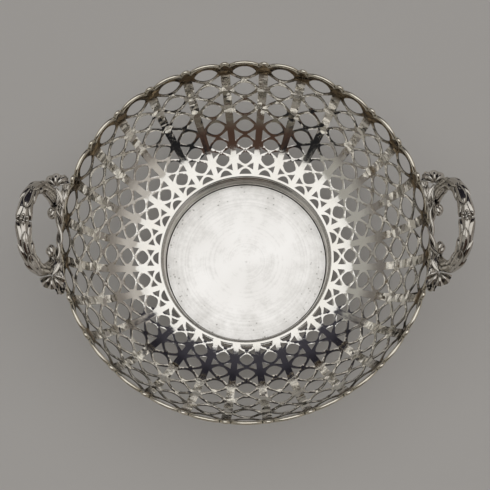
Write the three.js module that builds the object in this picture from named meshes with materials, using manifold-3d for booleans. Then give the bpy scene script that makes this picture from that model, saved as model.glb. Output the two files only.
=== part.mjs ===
// Two-handled pierced silver bowl, built as a silversmith builds it.
// Millimetres, +Z up, the origin on the resting plane under the centre of the bowl,
// the handles on +X and -X.

import * as THREE from 'three';
import { mergeVertices } from 'three/addons/utils/BufferGeometryUtils.js';
import Module from 'manifold-3d';

// Clearance left at every soldered seat
const SEAT_GAP = 0.3;

// Foot: a moulded wire ring that the bowl stands on
const FOOT_OUTER_RADIUS = 59;
const FOOT_WIDTH = 2.8;
const FOOT_HEIGHT = 2.4;
const FOOT_CHAMFER = 1;

// Collar: the upright ring between the foot and the pierced wall, let into the foot
const COLLAR_FOOT_METAL = 1.9;
const COLLAR_BORE_RADIUS = FOOT_OUTER_RADIUS - FOOT_WIDTH - SEAT_GAP - COLLAR_FOOT_METAL;
const COLLAR_METAL = 1.1;
const COLLAR_BOTTOM = 0.3;
const LEDGE_WIDTH = 1.6;
const LEDGE_THICKNESS = 1;
const LIP_WIDTH = 1.4;
const LIP_THICKNESS = 0.9;

// Base plate: the plain disc let into the collar
const PLATE_THICKNESS = 1;
const PLATE_CENTRE_RADIUS = 0.9;
const PLATE_CENTRE_DEPTH = 0.2;

// Pierced wall: sheet metal raised to one circular arc in section
const WALL_THICKNESS = 1;
const WALL_INNER_RADIUS = 57;
const WALL_INNER_HEIGHT = 13.4;
const WALL_ARC_RADIUS = 69.5;
const WALL_START_SLOPE = THREE.MathUtils.degToRad(10.4);

// Piercing: everything across is in parts of one bay, everything along is in millimetres;
// the rises are half heights of the ovals
const BAYS = 28;
const ROWS = 6;
const BAND_WIDTH = 1.5;
const HALF_OVAL_RISE = 3.7;
const FIRST_ROW_ALONG = 12.3;
const FIRST_ROW_RISE = 4;
const ROW_STEP = 10.5;
const ROW_STEP_GROWTH = 1.45;
const SECOND_ROW_RISE = 3.7;
const ROW_RISE_GROWTH = 0.5;
const BAR_SHARE = 0.25;
const OVAL_SHARE = 0.64;
const RING_BAND = 1.2;
const WEB_SHARE = 0.1;

// Shoulder of an oval, in parts of its half width and of its rise
const OVAL_SHOULDER_ACROSS = 0.55;
const OVAL_SHOULDER_RISE = 0.8;

// Scalloped edge: a round arch over each oval and a small knuckle over each bar,
// as rises above the middle of the top row
const VALLEY_RISE = 5.6;
const SCALLOP_SHOULDER_RISE = 8.9;
const SCALLOP_RISE = 9.8;
const KNUCKLE_RISE = 9.4;
const SCALLOP_SHOULDER_SHARE = 0.44;

// Rim wire soldered along the top of the scalloped edge
const RIM_WIRE_WIDTH = 2.1;
const RIM_WIRE_THICKNESS = 2.4;
const RIM_WIRE_MITRE_LIMIT = 1.4;

// Handle ring: an oval that rises from the rim and leans outwards;
// its lowest point is placed from the top of the rim wire
const RING_LEAN = THREE.MathUtils.degToRad(66.4);
const RING_FOOT_INSET = 1.8;
const RING_FOOT_LIFT = 3.16;
const RING_HALF_SPAN = 25;
const RING_HALF_RISE = 18.6;
const BOW_END_ANGLE = THREE.MathUtils.degToRad(-30);

// Bow: a stem with columns of laurel leaves that overlap towards the berries in the middle;
// the width of a leaf is in parts of its column, its length in parts of the step between leaves
const BOW_MIDDLE_RADIUS = 3.6;
const BOW_END_RADIUS = 2.7;
const LEAF_COLUMNS = 4;
const SIDES_PER_COLUMN = 3;
const BOW_SIDES = LEAF_COLUMNS * SIDES_PER_COLUMN;
const LEAVES_PER_SIDE = 4;
const STATIONS_PER_HALF_LEAF = 3;
const LEAF_HEIGHT = 1.2;
const LEAF_ROOT_SHARE = 0.3;
const LEAF_LENGTH = 1.3;
const LEAF_HALF_WIDTH = 0.6;
const LEAF_EDGE_STEEPNESS = 2;
const LEAF_TIP_SHARE = 0.07;

// Rail: the plain stem that closes the oval along the rim
const RAIL_RADIUS = 1.9;
const RAIL_SWELL = 0.4;
const RAIL_STEPS = 10;
const RAIL_SIDES = 5;

// Berries in the middle of the bow
const BERRY_RADIUS = 1.5;
const BERRY_SPREAD = 1.7;

// Shell at each end of the bow
const SHELL_WIDTH = 12;
const SHELL_LENGTH = 8;
const SHELL_DOME = 2.4;
const SHELL_BACK = 1.2;
const SHELL_FLUTES = 6;
const SHELL_FLUTE_DEPTH = 0.5;
const SHELL_UNDERSIDE_SHARE = 0.9;
const SHELL_CROWN_SHARE = 0.55;
const SHELL_INWARD = 1.6;
const SHELL_BEYOND = 6.1;
const SHELL_LIFT = 2.4;

// Bud that curls into the opening on a short stalk; its outline gives steps along and half-widths,
// both in bud radii from its middle
const BUD_RADIUS = 2.6;
const BUD_SIDES = 6;
const BUD_STALK_END = -0.9;
const BUD_OUTLINE = [[-0.5, 0.87], [0.35, 0.94], [1, 0.25]];
const BUD_STALK_RADIUS = 1.2;
const BUD_ACROSS_SHARE = 0.43;
const BUD_DOWN_SHARE = 0.42;
const BUD_ROOT_ANGLE = THREE.MathUtils.degToRad(-48);

// Leaf spray that lies on the rim and curls up under the shell
const SPRAY_START = 7;
const SPRAY_TURN_BEYOND = 2.7;
const SPRAY_CROOK_BEYOND = 5.2;
const SPRAY_LEAVES = 3;
const SPRAY_STEPS_PER_LEAF = 4;
const SPRAY_HALF_WIDTH = 2.3;
const SPRAY_THICKNESS = 2.4;
const SPRAY_NECK = 0.4;
const SPRAY_OVERHANG = 1;
const SPRAY_CROOK_SHARE = 0.4;

// Facets round the plate, the collar and the foot
const TURNED_SEGMENTS = 40;

const TURN = 2 * Math.PI;
const BAY_ANGLE = TURN / BAYS;

// Closed body from rings of points: sides between the rings, and a cap at each open end
function loft(rings, closed = false) {
  const sides = rings[0].length;
  const positions = [];
  for (const ring of rings) {
    for (const point of ring) {
      positions.push(point.x, point.y, point.z);
    }
  }
  const faces = [];
  const bands = closed ? rings.length : rings.length - 1;
  for (let band = 0; band < bands; band += 1) {
    const low = band * sides;
    const high = ((band + 1) % rings.length) * sides;
    for (let side = 0; side < sides; side += 1) {
      const next = (side + 1) % sides;
      faces.push(low + side, low + next, high + next);
      faces.push(low + side, high + next, high + side);
    }
  }
  if (!closed) {
    const last = (rings.length - 1) * sides;
    for (let side = 1; side < sides - 1; side += 1) {
      faces.push(0, side + 1, side);
      faces.push(last, last + side, last + side + 1);
    }
  }
  return solidGeometry(positions, faces);
}

// Indexed geometry with merged points and its faces turned outwards
function solidGeometry(positions, faces) {
  const loose = new THREE.BufferGeometry();
  loose.setAttribute('position', new THREE.Float32BufferAttribute(positions, 3));
  loose.setIndex(faces);
  const geometry = mergeVertices(loose, 1e-3);
  const kept = [];
  const index = geometry.getIndex();
  for (let face = 0; face < index.count; face += 3) {
    const corners = [index.getX(face), index.getX(face + 1), index.getX(face + 2)];
    if (new Set(corners).size === 3) {
      kept.push(corners);
    }
  }
  if (enclosedVolume(geometry, kept) < 0) {
    kept.forEach((corners) => corners.reverse());
  }
  geometry.setIndex(kept.flat());
  geometry.computeVertexNormals();
  return geometry;
}

function enclosedVolume(geometry, faces) {
  const position = geometry.getAttribute('position');
  const corner = (index) => new THREE.Vector3().fromBufferAttribute(position, index);
  let volume = 0;
  for (const [a, b, c] of faces) {
    volume += corner(a).dot(corner(b).cross(corner(c))) / 6;
  }
  return volume;
}

// Point of the pierced wall: across in bays, along the arc from the inner edge, and out from its middle
function wallPoint(bay, along, out = 0) {
  const slope = WALL_START_SLOPE + along / WALL_ARC_RADIUS;
  const angle = ((bay + BAYS) % BAYS) * BAY_ANGLE;
  const centreRadius = WALL_INNER_RADIUS - WALL_ARC_RADIUS * Math.sin(WALL_START_SLOPE);
  const centreHeight = WALL_INNER_HEIGHT + WALL_ARC_RADIUS * Math.cos(WALL_START_SLOPE);
  const radius = centreRadius + (WALL_ARC_RADIUS + out) * Math.sin(slope);
  const height = centreHeight - (WALL_ARC_RADIUS + out) * Math.cos(slope);
  return new THREE.Vector3(radius * Math.cos(angle), radius * Math.sin(angle), height);
}

function wallRadius(along) {
  return Math.hypot(wallPoint(0, along).x, wallPoint(0, along).y);
}

// Width of one bay at a place along the wall
function bayPitch(along) {
  return BAY_ANGLE * wallRadius(along);
}

// Rows of ovals, each step and each rise a little larger than the last;
// row 0 is the half oval at the base
function ovalRows() {
  const rows = [
    { along: BAND_WIDTH, rise: HALF_OVAL_RISE },
    { along: FIRST_ROW_ALONG, rise: FIRST_ROW_RISE },
  ];
  for (let step = 0; step < ROWS - 1; step += 1) {
    const along = rows[rows.length - 1].along + ROW_STEP + step * ROW_STEP_GROWTH;
    rows.push({ along, rise: SECOND_ROW_RISE + step * ROW_RISE_GROWTH });
  }
  return rows;
}

const OVAL_ROWS = ovalRows();
const TOP_ROW = OVAL_ROWS[ROWS];

// Highest line of the rim wire, where the sprays lie and from where the handle ring rises
const RIM_TOP = wallPoint(0, TOP_ROW.along + SCALLOP_RISE + RIM_WIRE_WIDTH / 2, SPRAY_OVERHANG);
const RING_CENTRE = new THREE.Vector3(
  RIM_TOP.x - RING_FOOT_INSET + RING_HALF_RISE * Math.cos(RING_LEAN),
  0,
  RIM_TOP.z + RING_FOOT_LIFT + RING_HALF_RISE * Math.sin(RING_LEAN),
);

// A corner of a cell, and whether the edge that starts at it borders an opening
function corner(bay, along, open = false) {
  return { bay, along, open };
}

// Upper or lower edge of one oval, from its left tip to its right tip
function ovalEdge(bay, row, up) {
  const tip = OVAL_SHARE / 2;
  const rise = up ? row.rise : -row.rise;
  const shoulder = tip * OVAL_SHOULDER_ACROSS;
  const shoulderAlong = row.along + rise * OVAL_SHOULDER_RISE;
  return [
    corner(bay - tip, row.along, true),
    corner(bay - shoulder, shoulderAlong, true),
    corner(bay, row.along + rise, true),
    corner(bay + shoulder, shoulderAlong, true),
    corner(bay + tip, row.along, true),
  ];
}

// Triangle beside a bar, where two rows of ovals meet; side is -1 left or +1 right of the bay.
// Each slanting side passes the shoulder of its oval at the width of the ring band
function triangle(bay, below, above, side) {
  const middle = (below.along + below.rise + above.along - above.rise) / 2;
  const barEdge = 0.5 - BAR_SHARE / 2;
  const web = WEB_SHARE / 2;
  const reach = (row) => {
    const across = (OVAL_SHARE / 2) * OVAL_SHOULDER_ACROSS * bayPitch(row.along);
    const away = Math.abs(row.along - middle) - row.rise * OVAL_SHOULDER_RISE;
    const shoulder = new THREE.Vector2(across - web * bayPitch(middle), away);
    const slant = shoulder.angle() - Math.asin(RING_BAND / shoulder.length());
    return (barEdge - web) * bayPitch(middle) * Math.tan(slant);
  };
  return {
    lower: corner(bay + side * barEdge, middle - reach(below), true),
    upper: corner(bay + side * barEdge, middle + reach(above), true),
    inner: corner(bay + side * web, middle, true),
  };
}

// The metal round one junction, from the left triangle of this bay to the left triangle of the next
function junctionCell(bay, below, above) {
  const left = triangle(bay, below, above, -1);
  const right = triangle(bay, below, above, 1);
  const next = triangle(bay + 1, below, above, -1);
  const floor = ovalEdge(bay, below, true);
  const roof = ovalEdge(bay, above, false).reverse();
  floor.at(-1).open = false;
  roof.at(-1).open = false;
  const nextTip = OVAL_SHARE / 2;
  const outline = [
    ...floor,
    corner(bay + 1 - nextTip, below.along),
    next.lower,
    { ...next.upper, open: false },
    corner(bay + 1 - nextTip, above.along),
    ...roof,
    left.upper,
    left.inner,
    { ...left.lower, open: false },
  ];
  return { outline, hole: [right.lower, right.inner, right.upper] };
}

// Plain band between the inner edge of the sheet and the half ovals
function bandCells(bay) {
  const tip = OVAL_SHARE / 2;
  const base = OVAL_ROWS[0].along;
  const under = [
    corner(bay - tip, 0, true),
    corner(bay + tip, 0),
    corner(bay + tip, base, true),
    corner(bay - tip, base),
  ];
  const beside = [
    corner(bay + tip, 0, true),
    corner(bay + 1 - tip, 0),
    corner(bay + 1 - tip, base),
    corner(bay + tip, base),
  ];
  return [{ outline: under }, { outline: beside }];
}

// Scalloped line of one bay, from its left valley to the left valley of the next bay,
// moved down square to itself by an inset
function scallopEdge(bay, inset) {
  const valley = 0.5 - BAR_SHARE / 2;
  const shoulder = SCALLOP_SHOULDER_SHARE / 2;
  const pitch = bayPitch(TOP_ROW.along);
  const turns = [
    [-valley, VALLEY_RISE],
    [-shoulder, SCALLOP_SHOULDER_RISE],
    [0, SCALLOP_RISE],
    [shoulder, SCALLOP_SHOULDER_RISE],
    [valley, VALLEY_RISE],
    [0.5, KNUCKLE_RISE],
  ].map(([across, rise]) => new THREE.Vector2(across * pitch, rise));
  const at = (index) => {
    const lap = Math.floor(index / turns.length);
    return turns[index - lap * turns.length].clone().add(new THREE.Vector2(lap * pitch, 0));
  };
  const edge = [];
  for (let index = 0; index <= turns.length; index += 1) {
    const before = at(index).sub(at(index - 1)).normalize();
    const after = at(index + 1).sub(at(index)).normalize();
    const square = new THREE.Vector2(before.y + after.y, -before.x - after.x);
    const moved = at(index).addScaledVector(square, inset / (1 + before.dot(after)));
    edge.push(corner(bay + moved.x / pitch, TOP_ROW.along + moved.y, index < turns.length));
  }
  return edge;
}

// The metal above the top row of ovals
function edgeCell(bay) {
  const floor = ovalEdge(bay, TOP_ROW, true);
  floor.at(-1).open = false;
  const roof = scallopEdge(bay, RIM_WIRE_WIDTH / 2 + SEAT_GAP).reverse();
  const steps = roof.map((point, index) => ({ ...point, open: index < roof.length - 1 }));
  const tip = OVAL_SHARE / 2;
  return { outline: [...floor, corner(bay + 1 - tip, TOP_ROW.along), ...steps] };
}

// Thick plate of one flat cell bent onto the wall: two faces, and a side wall along each open edge
function addCell(cell, positions) {
  const flatten = (point) => new THREE.Vector2(point.bay * BAY_ANGLE * WALL_ARC_RADIUS, point.along);
  const hole = cell.hole ?? [];
  const points = [...cell.outline, ...hole];
  const holes = hole.length > 0 ? [hole.map(flatten)] : [];
  const faces = THREE.ShapeUtils.triangulateShape(cell.outline.map(flatten), holes);
  const outer = points.map((point) => wallPoint(point.bay, point.along, WALL_THICKNESS / 2));
  const inner = points.map((point) => wallPoint(point.bay, point.along, -WALL_THICKNESS / 2));
  const push = (...corners) => corners.forEach((point) => positions.push(point.x, point.y, point.z));
  for (const face of faces) {
    const [a, b, c] = THREE.ShapeUtils.area(face.map((index) => flatten(points[index]))) > 0
      ? face
      : [...face].reverse();
    push(outer[a], outer[b], outer[c]);
    push(inner[c], inner[b], inner[a]);
  }
  for (const loop of [cell.outline, hole]) {
    const start = loop === hole ? cell.outline.length : 0;
    loop.forEach((point, index) => {
      if (point.open) {
        const from = start + index;
        const to = start + ((index + 1) % loop.length);
        push(outer[to], outer[from], inner[from]);
        push(outer[to], inner[from], inner[to]);
      }
    });
  }
}

function piercedWallGeometry() {
  const positions = [];
  for (let bay = 0; bay < BAYS; bay += 1) {
    bandCells(bay).forEach((cell) => addCell(cell, positions));
    for (let row = 0; row < ROWS; row += 1) {
      addCell(junctionCell(bay, OVAL_ROWS[row], OVAL_ROWS[row + 1]), positions);
    }
    addCell(edgeCell(bay), positions);
  }
  const faces = positions.slice(0, positions.length / 3).map((_, index) => index);
  return solidGeometry(positions, faces);
}

// Wire that follows the scalloped line, on edge, with its corners up, down, in and out
function rimWireGeometry() {
  const route = [];
  for (let bay = 0; bay < BAYS; bay += 1) {
    route.push(...scallopEdge(bay, 0).slice(0, -1));
  }
  const at = (index) => {
    const point = route[(index + route.length) % route.length];
    return wallPoint(point.bay, point.along);
  };
  const rings = route.map((point, index) => {
    const centre = at(index);
    const out = wallPoint(point.bay, point.along, 1).sub(centre);
    const before = at(index - 1).sub(centre).normalize();
    const after = at(index + 1).sub(centre).normalize();
    const travel = after.clone().sub(before).normalize();
    const rise = out.clone().cross(travel).normalize();
    const mitre = Math.min(1 / Math.abs(travel.dot(after)), RIM_WIRE_MITRE_LIMIT);
    const tall = rise.multiplyScalar((mitre * RIM_WIRE_WIDTH) / 2);
    const deep = out.multiplyScalar(RIM_WIRE_THICKNESS / 2);
    return [
      centre.clone().sub(tall),
      centre.clone().add(deep),
      centre.clone().add(tall),
      centre.clone().sub(deep),
    ];
  });
  return loft(rings, true);
}

// Ring turned from a closed profile of radius and height pairs
function turned(profile, segments) {
  const rings = [];
  for (let step = 0; step < segments; step += 1) {
    const angle = (step * TURN) / segments;
    rings.push(profile.map(([radius, height]) => (
      new THREE.Vector3(radius * Math.cos(angle), radius * Math.sin(angle), height)
    )));
  }
  return loft(rings, true);
}

function footRingGeometry() {
  const inner = FOOT_OUTER_RADIUS - FOOT_WIDTH;
  return turned([
    [inner, 0],
    [FOOT_OUTER_RADIUS, 0],
    [FOOT_OUTER_RADIUS, FOOT_HEIGHT - FOOT_CHAMFER],
    [FOOT_OUTER_RADIUS - FOOT_CHAMFER, FOOT_HEIGHT],
    [inner, FOOT_HEIGHT],
  ], TURNED_SEGMENTS);
}

const LEDGE_TOP = COLLAR_BOTTOM + LEDGE_THICKNESS;
const PLATE_TOP = LEDGE_TOP + SEAT_GAP + PLATE_THICKNESS;
const LIP_TOP = WALL_INNER_HEIGHT - WALL_THICKNESS / 2 - SEAT_GAP;

// Upright collar: a ledge for the plate, a waisted bore, and a lip under the wall's plain band
function collarGeometry() {
  const lipInner = WALL_INNER_RADIUS - SEAT_GAP;
  const foot = FOOT_OUTER_RADIUS - FOOT_WIDTH - SEAT_GAP;
  const waist = COLLAR_BORE_RADIUS + COLLAR_METAL;
  const middle = (PLATE_TOP + LIP_TOP) / 2;
  return turned([
    [COLLAR_BORE_RADIUS - LEDGE_WIDTH, COLLAR_BOTTOM],
    [foot, COLLAR_BOTTOM],
    [foot, FOOT_HEIGHT],
    [waist, middle],
    [lipInner + COLLAR_METAL / 2, LIP_TOP - LIP_THICKNESS],
    [lipInner + LIP_WIDTH, LIP_TOP - LIP_THICKNESS],
    [lipInner + LIP_WIDTH, LIP_TOP],
    [lipInner, LIP_TOP],
    [COLLAR_BORE_RADIUS + COLLAR_METAL / 3, middle],
    [COLLAR_BORE_RADIUS, LEDGE_TOP],
    [COLLAR_BORE_RADIUS - LEDGE_WIDTH, LEDGE_TOP],
  ], TURNED_SEGMENTS);
}

// Flat disc with the small centre mark left by the compasses
function basePlateGeometry() {
  const edge = COLLAR_BORE_RADIUS - SEAT_GAP;
  const bottom = PLATE_TOP - PLATE_THICKNESS;
  const profile = [
    new THREE.Vector2(0, bottom),
    new THREE.Vector2(edge, bottom),
    new THREE.Vector2(edge, PLATE_TOP),
    new THREE.Vector2(PLATE_CENTRE_RADIUS, PLATE_TOP),
    new THREE.Vector2(0, PLATE_TOP - PLATE_CENTRE_DEPTH),
  ];
  const lathe = new THREE.LatheGeometry(profile, TURNED_SEGMENTS);
  lathe.rotateX(Math.PI / 2);
  lathe.deleteAttribute('normal');
  lathe.deleteAttribute('uv');
  return solidGeometry([...lathe.getAttribute('position').array], [...lathe.getIndex().array]);
}

// Point in the leaning plane of the handle ring: across, up the slope, and out of the plane
function ringPoint(across, up, out = 0) {
  return new THREE.Vector3(
    RING_CENTRE.x + up * Math.cos(RING_LEAN) + out * Math.sin(RING_LEAN),
    across,
    RING_CENTRE.z + up * Math.sin(RING_LEAN) - out * Math.cos(RING_LEAN),
  );
}

function ringCentreline(angle) {
  return [RING_HALF_SPAN * Math.cos(angle), RING_HALF_RISE * Math.sin(angle)];
}

// Section of a stem round the ring's centreline; the radius may differ from side to side
function ringSection(angle, sides, radiusAt) {
  const [across, up] = ringCentreline(angle);
  const away = new THREE.Vector2(RING_HALF_RISE * Math.cos(angle), RING_HALF_SPAN * Math.sin(angle));
  away.normalize();
  const points = [];
  for (let side = 0; side < sides; side += 1) {
    const turn = ((side + 0.5) * TURN) / sides;
    const radius = radiusAt(turn);
    const spread = radius * Math.cos(turn);
    points.push(ringPoint(across + away.x * spread, up + away.y * spread, radius * Math.sin(turn)));
  }
  return points;
}

// Places of the rings on half of the bow, in leaf steps from its end;
// each leaf tip has a ring just before it and one where the drop ends
function leafStations() {
  const stations = [];
  for (let halfLeaf = 0; halfLeaf < 2 * LEAVES_PER_SIDE; halfLeaf += 1) {
    for (let station = 0; station < STATIONS_PER_HALF_LEAF; station += 1) {
      stations.push((halfLeaf + station / STATIONS_PER_HALF_LEAF) / 2);
    }
    stations.push((halfLeaf + 1) / 2 - LEAF_TIP_SHARE);
  }
  return stations;
}

// Height of the highest leaf at a place round and along the bow, in parts of a leaf's height;
// neighbouring columns are half a leaf apart, and each leaf rises from its root to its tip
function leafHeight(turn, place) {
  const { clamp, euclideanModulo, lerp } = THREE.MathUtils;
  let highest = 0;
  for (let column = 0; column < LEAF_COLUMNS; column += 1) {
    const centre = ((column + 0.5) * TURN) / LEAF_COLUMNS;
    const turned = Math.abs(euclideanModulo(turn - centre + Math.PI, TURN) - Math.PI);
    const away = (turned * LEAF_COLUMNS) / TURN;
    const nextTip = 1 - euclideanModulo(place + column / 2, 1);
    for (const toTip of [nextTip, nextTip + 1]) {
      const along = 1 - toTip / LEAF_LENGTH;
      const halfWidth = LEAF_HALF_WIDTH * Math.sin(Math.PI * clamp(along, 0, 1));
      if (halfWidth > away) {
        const body = Math.min((1 - away / halfWidth) * LEAF_EDGE_STEEPNESS, 1);
        highest = Math.max(highest, body * lerp(LEAF_ROOT_SHARE, 1, along));
      }
    }
  }
  return highest;
}

// Bow: the stem swells towards the berries and carries the leaves on it
function bowGeometry() {
  const middle = Math.PI / 2;
  const half = leafStations().map((place) => {
    const share = place / LEAVES_PER_SIDE;
    const angle = THREE.MathUtils.lerp(BOW_END_ANGLE, middle, share);
    const stem = THREE.MathUtils.lerp(BOW_END_RADIUS, BOW_MIDDLE_RADIUS, share);
    const radiusAt = (turn) => stem + LEAF_HEIGHT * leafHeight(turn, place);
    return { angle, radiusAt };
  });
  const mirrored = half.map(({ angle, radiusAt }) => ({ angle: Math.PI - angle, radiusAt }));
  const whole = [...half, ...mirrored.reverse()];
  return loft(whole.map(({ angle, radiusAt }) => ringSection(angle, BOW_SIDES, radiusAt)));
}

// Plain stem below the bow, along the rim, swelling a little at each knot
function railGeometry() {
  const clear = (2 * SEAT_GAP) / RING_HALF_RISE;
  const start = Math.PI - BOW_END_ANGLE + clear;
  const end = TURN + BOW_END_ANGLE - clear;
  const rings = [];
  for (let step = 0; step <= RAIL_STEPS; step += 1) {
    const angle = THREE.MathUtils.lerp(start, end, step / RAIL_STEPS);
    const radius = RAIL_RADIUS + (step % 2 === 0 ? RAIL_SWELL : 0);
    rings.push(ringSection(angle, RAIL_SIDES, () => radius));
  }
  return loft(rings);
}

// Cluster of berries on the crest of the bow
function berriesGeometry(solids) {
  const seatTurn = -Math.PI / BOW_SIDES;
  const seatLeaf = leafHeight(seatTurn, LEAVES_PER_SIDE - LEAF_TIP_SHARE);
  const bowFlat = (BOW_MIDDLE_RADIUS + LEAF_HEIGHT * seatLeaf) * Math.cos(seatTurn);
  const crest = bowFlat + SEAT_GAP + BERRY_RADIUS;
  const [across, up] = ringCentreline(Math.PI / 2);
  const centre = ringPoint(across, up).add(new THREE.Vector3(0, 0, crest));
  const places = [[0, 0], [1, 0], [-1, 0], [0, 1], [0, -1]];
  const berries = places.map(([x, y]) => {
    const berry = new THREE.IcosahedronGeometry(BERRY_RADIUS);
    berry.translate(centre.x + x * BERRY_SPREAD, centre.y + y * BERRY_SPREAD, centre.z);
    return berry;
  });
  return joined(solids, berries);
}

// One solid joined from closed geometries
function joined(solids, geometries) {
  const parts = geometries.map((geometry) => {
    geometry.deleteAttribute('normal');
    geometry.deleteAttribute('uv');
    const merged = mergeVertices(geometry, 1e-4);
    return new solids.Manifold(new solids.Mesh({
      numProp: 3,
      vertProperties: new Float32Array(merged.getAttribute('position').array),
      triVerts: new Uint32Array(merged.getIndex().array),
    }));
  });
  const mesh = parts.reduce((whole, part) => whole.add(part)).getMesh();
  return solidGeometry([...mesh.vertProperties], [...mesh.triVerts]);
}

// Hinge of a shell, placed from the end of the bow; hand is +1 or -1 in Y
function shellHinge(hand) {
  const bowEnd = ringPoint(...ringCentreline(BOW_END_ANGLE));
  return new THREE.Vector3(
    bowEnd.x - SHELL_INWARD,
    hand * (bowEnd.y + SHELL_BEYOND),
    bowEnd.z + SHELL_LIFT,
  );
}

// Fluted shell: a domed fan from its hinge, with a ridge and a groove in turn
function shellGeometry(hand) {
  const ribs = 2 * SHELL_FLUTES + 1;
  const hinge = shellHinge(hand);
  const fan = (reach, lift, flute) => {
    const points = [];
    for (let rib = 0; rib < ribs; rib += 1) {
      const turn = (rib / (ribs - 1)) * Math.PI;
      const ridge = rib % 2 === 0 ? 0 : flute;
      const away = Math.sin(turn) * SHELL_LENGTH * reach + ridge * Math.sin(turn);
      const across = Math.cos(turn) * (SHELL_WIDTH / 2) * reach;
      points.push(new THREE.Vector3(hinge.x - across, hinge.y + hand * away, hinge.z + lift + ridge));
    }
    return points;
  };
  const bottom = fan(SHELL_UNDERSIDE_SHARE, -SHELL_BACK, 0);
  const edge = fan(1, 0, SHELL_FLUTE_DEPTH);
  const crown = fan(SHELL_CROWN_SHARE, SHELL_DOME, SHELL_FLUTE_DEPTH);
  return loft([bottom, edge, crown]);
}

// Bud: a ball on a short stalk that springs from the rail into the opening
function budGeometry(hand) {
  const [rootAcross, rootUp] = ringCentreline(BUD_ROOT_ANGLE);
  const root = new THREE.Vector2(rootAcross, rootUp);
  const ball = new THREE.Vector2(
    RING_HALF_SPAN * BUD_ACROSS_SHARE,
    -RING_HALF_RISE * BUD_DOWN_SHARE,
  );
  const way = ball.clone().sub(root);
  const length = way.length();
  way.normalize();
  const side = new THREE.Vector2(-way.y, way.x);
  const start = RAIL_RADIUS + RAIL_SWELL + SEAT_GAP;
  const stations = [
    [start, BUD_STALK_RADIUS],
    [length + BUD_RADIUS * BUD_STALK_END, BUD_STALK_RADIUS],
    ...BUD_OUTLINE.map(([along, wide]) => [length + BUD_RADIUS * along, BUD_RADIUS * wide]),
  ];
  const rings = stations.map(([along, radius]) => {
    const points = [];
    for (let step = 0; step < BUD_SIDES; step += 1) {
      const turn = (step * TURN) / BUD_SIDES;
      const across = radius * Math.cos(turn);
      const centre = root.clone().addScaledVector(way, along).addScaledVector(side, across);
      points.push(ringPoint(hand * centre.x, centre.y, radius * Math.sin(turn)));
    }
    return points;
  });
  return loft(rings);
}

// Leaf spray: three ridged leaves in a row along the rim wire, the last one rising to the shell
function sprayGeometry(hand) {
  const floor = RIM_TOP.z + SEAT_GAP + SPRAY_THICKNESS / 2;
  const onRim = (across, lift = 0) => {
    const angle = Math.asin(across / RIM_TOP.x);
    return new THREE.Vector3(RIM_TOP.x * Math.cos(angle), hand * across, floor + lift);
  };
  const hinge = shellHinge(hand);
  const shellFloor = hinge.z - SHELL_BACK - SEAT_GAP - SPRAY_THICKNESS * SPRAY_NECK;
  const shellMiddle = Math.abs(hinge.y) + SHELL_LENGTH / 2;
  const rimEnd = shellMiddle + SPRAY_TURN_BEYOND;
  const crookLift = (shellFloor - floor) * SPRAY_CROOK_SHARE;
  const route = new THREE.CatmullRomCurve3([
    onRim(SPRAY_START),
    onRim((SPRAY_START + rimEnd) / 2),
    onRim(rimEnd),
    onRim(shellMiddle + SPRAY_CROOK_BEYOND, crookLift),
    new THREE.Vector3(hinge.x - SHELL_WIDTH / 4, hand * shellMiddle, shellFloor),
  ]);
  const steps = SPRAY_LEAVES * SPRAY_STEPS_PER_LEAF;
  const rings = [];
  for (let step = 0; step <= steps; step += 1) {
    const centre = route.getPointAt(step / steps);
    const travel = route.getTangentAt(step / steps);
    const out = new THREE.Vector3(centre.x, centre.y, 0).normalize();
    const up = travel.clone().cross(out).multiplyScalar(-hand).normalize();
    const side = travel.clone().cross(up).normalize();
    const swell = Math.abs(Math.sin((Math.PI * step) / SPRAY_STEPS_PER_LEAF));
    const leaf = SPRAY_NECK + (1 - SPRAY_NECK) * swell;
    const place = (across, rise) => (
      centre.clone().addScaledVector(side, across).addScaledVector(up, rise)
    );
    const width = SPRAY_HALF_WIDTH * leaf;
    const thick = (SPRAY_THICKNESS / 2) * leaf;
    rings.push([place(-width, 0), place(0, -thick), place(width, 0), place(0, thick)]);
  }
  return loft(rings);
}

function metal(colour, roughness) {
  return new THREE.MeshStandardMaterial({ color: colour, roughness, metalness: 1 });
}

function sheetSilver() {
  return metal(0xbdb9b3, 0.28);
}

function satinSilver() {
  return metal(0xd6d5d2, 0.45);
}

function wireSilver() {
  return metal(0xc3beb2, 0.25);
}

function castSilver() {
  return metal(0x9d988f, 0.35);
}

function mesh(name, geometry, material) {
  const piece = new THREE.Mesh(geometry, material);
  piece.name = name;
  return piece;
}

// One handle, made on +X and turned to its side; the front is the side of -Y
function handle(label, turn, solids) {
  const group = new THREE.Group();
  group.rotation.z = turn;
  const facing = Math.round(Math.cos(turn));
  group.add(mesh(`${label}_bow`, bowGeometry(), castSilver()));
  group.add(mesh(`${label}_rail`, railGeometry(), castSilver()));
  group.add(mesh(`${label}_berries`, berriesGeometry(solids), castSilver()));
  for (const [end, hand] of [['front', -facing], ['back', facing]]) {
    group.add(mesh(`${label}_shell_${end}`, shellGeometry(hand), castSilver()));
    group.add(mesh(`${label}_bud_${end}`, budGeometry(hand), castSilver()));
    group.add(mesh(`${label}_spray_${end}`, sprayGeometry(hand), castSilver()));
  }
  return group;
}

const solids = await Module();
solids.setup();

const bowl = new THREE.Group();
bowl.add(mesh('pierced_wall', piercedWallGeometry(), sheetSilver()));
bowl.add(mesh('rim_wire', rimWireGeometry(), wireSilver()));
bowl.add(mesh('base_plate', basePlateGeometry(), satinSilver()));
bowl.add(mesh('collar', collarGeometry(), sheetSilver()));
bowl.add(mesh('foot_ring', footRingGeometry(), wireSilver()));
bowl.add(handle('right', 0, solids));
bowl.add(handle('left', Math.PI, solids));

export default bowl;
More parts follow.
